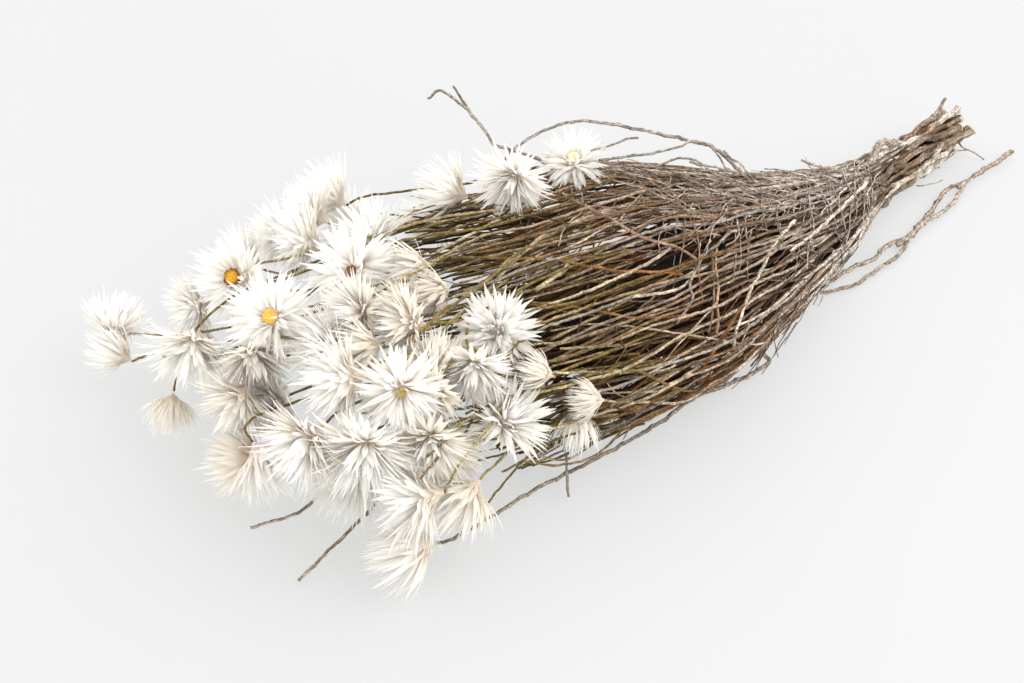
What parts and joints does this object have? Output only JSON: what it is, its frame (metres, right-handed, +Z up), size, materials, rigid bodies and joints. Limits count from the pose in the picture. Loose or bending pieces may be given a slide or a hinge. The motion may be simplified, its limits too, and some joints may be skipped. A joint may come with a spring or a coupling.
{
  "type": "bunch of dried cape flowers",
  "caption": "Bunch of dried white everlasting flowers lying down: thin woody stems gathered at the cut ends and fanning out to papery, spiky white heads.",
  "frame": {"origin": "middle of the bunch's box, on the surface it lies on", "axes": "+X along the bunch towards the cut ends, +Z up from the surface, heads towards -X"},
  "size_m": [0.5475, 0.2538, 0.1183],
  "materials": {
    "stem_wood": "dry, matte, finely ridged bark",
    "bract_paper": "dry, papery, slightly silky",
    "disc_florets": "dry, velvety florets"
  },
  "bodies": {
    "root": {"stems_bundle": "stem_wood", "branch_forked": "stem_wood", "branch_arching": "stem_wood", "branch_low": "stem_wood", "head_01": "bract_paper", "head_02": "bract_paper", "head_03": "bract_paper", "head_04": "bract_paper", "head_05": "bract_paper", "head_06": "bract_paper", "head_07": "bract_paper", "head_08": "bract_paper", "head_09": "bract_paper", "head_10": "bract_paper", "head_11": "bract_paper", "head_12": "bract_paper", "head_13": "bract_paper", "head_14": "bract_paper", "head_15": "bract_paper", "head_16": "bract_paper", "head_17": "bract_paper", "head_18": "bract_paper", "head_19": "bract_paper", "head_20": "bract_paper", "head_21": "bract_paper", "head_22": "bract_paper", "head_23": "bract_paper", "head_24": "bract_paper", "head_25": "bract_paper", "head_26": "bract_paper", "head_27": "bract_paper", "head_28": "bract_paper", "head_29": "bract_paper", "head_30": "bract_paper", "head_31": "bract_paper", "head_32": "bract_paper", "head_33": "bract_paper", "head_34": "bract_paper", "head_35": "bract_paper", "head_36": "bract_paper", "head_37": "bract_paper", "head_38": "bract_paper", "head_39": "bract_paper", "head_40": "bract_paper", "head_41": "bract_paper", "head_42": "bract_paper", "head_43": "bract_paper", "head_44": "bract_paper", "head_45": "bract_paper", "head_46": "bract_paper", "head_47": "bract_paper", "head_48": "bract_paper", "head_49": "bract_paper", "head_50": "bract_paper", "head_51": "bract_paper", "disc_05": "disc_florets", "disc_07": "disc_florets", "disc_09": "disc_florets", "disc_16": "disc_florets", "disc_27": "disc_florets"}
  },
  "joints": []
}
